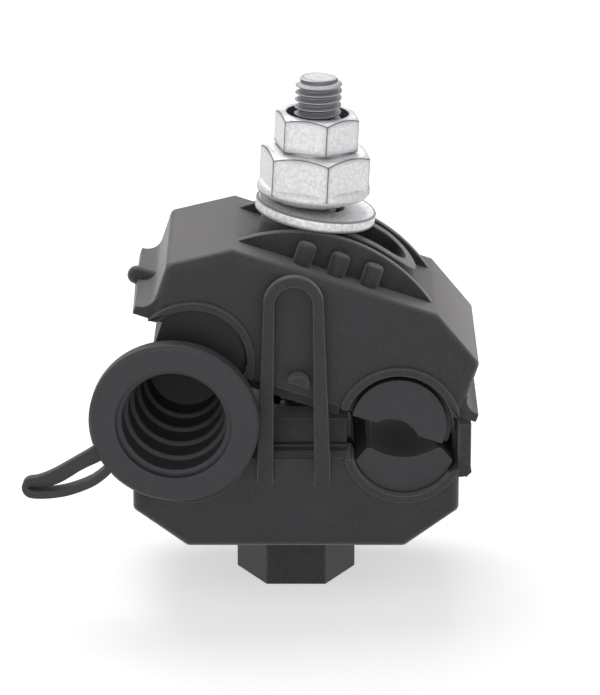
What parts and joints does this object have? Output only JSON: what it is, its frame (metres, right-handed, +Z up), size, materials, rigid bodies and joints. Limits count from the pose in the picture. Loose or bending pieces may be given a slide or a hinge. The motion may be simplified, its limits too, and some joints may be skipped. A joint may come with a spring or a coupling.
{
  "type": "insulation-piercing branch clamp",
  "caption": "Two-jaw insulation-piercing branch clamp with a shear-head nut, sealed conductor channels and a flanged end cap with a pull loop.",
  "frame": {"origin": "centre of the hexagonal boss's underside, on the bolt axis", "axes": "+Z up along the closed bolt, +Y from the cap's flanged mouth to the rear, +X from the tap channel to the main channel"},
  "size_m": [0.0783, 0.0429, 0.0894],
  "materials": {
    "housing": "fine moulded texture",
    "seal": "smooth matt",
    "cap": "smooth matt",
    "galvanised": "hot-dip galvanised",
    "tinned": "tinned"
  },
  "bodies": {
    "lower_jaw": {"lower_housing": "housing", "clamp_bolt": "galvanised", "main_seal_lower": "seal", "tap_seal_lower": "seal", "blade_lower_front": "tinned", "blade_lower_rear": "tinned", "end_cap": "cap"},
    "washer_plate": {"washer": "galvanised"},
    "upper_jaw": {"upper_housing": "housing", "main_seal_upper": "seal", "tap_seal_upper": "seal", "blade_upper_front": "tinned", "blade_upper_rear": "tinned"},
    "nut": {"shear_nut": "galvanised"}
  },
  "joints": [
    {"name": "clamp_travel", "type": "slide", "parent": "lower_jaw", "child": "washer_plate", "axis": [0.0489, 0, 0.9988], "range_m": [0, 0.006]},
    {"name": "jaw_rock", "type": "hinge", "parent": "washer_plate", "child": "upper_jaw", "pos_m": [-0.0005, 0, 0.0365], "axis": [0, -1, 0], "range_deg": [0, 3.5]},
    {"name": "nut_turn", "type": "hinge", "parent": "washer_plate", "child": "nut", "pos_m": [0.00293, 0, 0.06758], "axis": [0.0489, 0, 0.9988], "range_deg": [0, 1760]}
  ],
  "couplings": [
    {"joint": "nut_turn", "follows": "clamp_travel", "rad_per_m": 5026.5}
  ]
}
